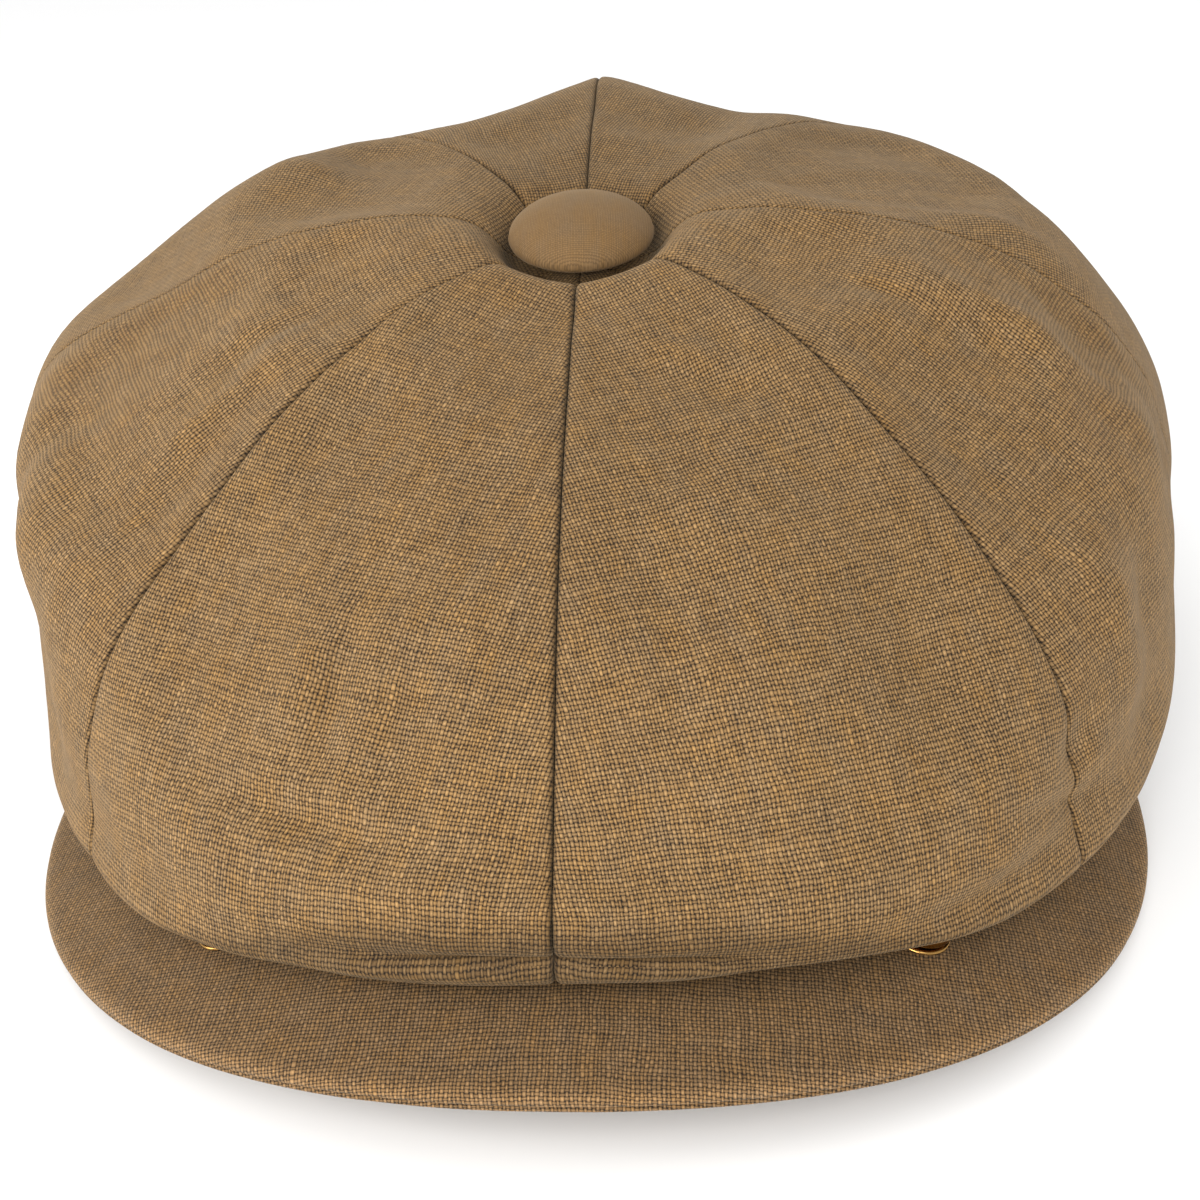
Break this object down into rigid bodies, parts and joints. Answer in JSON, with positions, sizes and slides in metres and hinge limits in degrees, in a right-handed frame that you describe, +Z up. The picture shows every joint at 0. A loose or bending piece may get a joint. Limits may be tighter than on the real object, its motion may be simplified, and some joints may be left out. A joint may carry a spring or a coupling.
{
  "type": "newsboy cap",
  "caption": "Newsboy cap in woven linen: puffed panelled crown with covered button, stiff arched visor held under its front by press studs, lining and sweatband.",
  "frame": {"origin": "middle of the cap's bounding box, on the table it lies on", "axes": "+Z up, -Y towards the visor, +X to the right seen from the front"},
  "size_m": [0.2454, 0.281, 0.1215],
  "materials": {
    "linen": "coarse plain-weave linen, matt, camel brown",
    "visor_linen": "the same linen drawn over the visor, matt",
    "lining": "smooth twill lining, dark brown",
    "sweatband": "ribbed grosgrain band, dark brown",
    "board": "moulded visor board, hidden",
    "brass": "polished brass press stud",
    "tinplate": "pressed tinplate, hidden under the cloth"
  },
  "bodies": {
    "cap_body": {"crown_panel_side_front_right": "linen", "crown_panel_side_back_right": "linen", "crown_panel_back_right": "linen", "crown_panel_back_left": "linen", "crown_panel_side_back_left": "linen", "crown_panel_side_front_left": "linen", "lining_panel_side_front_right": "lining", "lining_panel_side_back_right": "lining", "lining_panel_back_right": "lining", "lining_panel_back_left": "lining", "lining_panel_side_back_left": "lining", "lining_panel_side_front_left": "lining", "head_band": "linen", "sweatband": "sweatband", "button_cover": "linen", "button_shell": "tinplate", "button_back": "tinplate", "button_washer": "tinplate"},
    "crown_front": {"crown_panel_front_right": "linen", "crown_panel_front_left": "linen", "lining_panel_front_right": "lining", "lining_panel_front_left": "lining", "snap_socket_left": "brass", "snap_socket_right": "brass"},
    "visor": {"visor_top_cover": "visor_linen", "visor_board": "board", "visor_under_cover": "visor_linen", "snap_stud_left": "brass", "snap_stud_right": "brass"}
  },
  "joints": [
    {"name": "crown_front_lift", "type": "hinge", "parent": "cap_body", "child": "crown_front", "pos_m": [0, -0.0285, 0.0995], "axis": [-1, 0, 0], "range_deg": [0, 8]},
    {"name": "visor_pivot", "type": "hinge", "parent": "cap_body", "child": "visor", "pos_m": [0, -0.0355, 0.015], "axis": [1, 0, 0], "range_deg": [0, 10]}
  ]
}
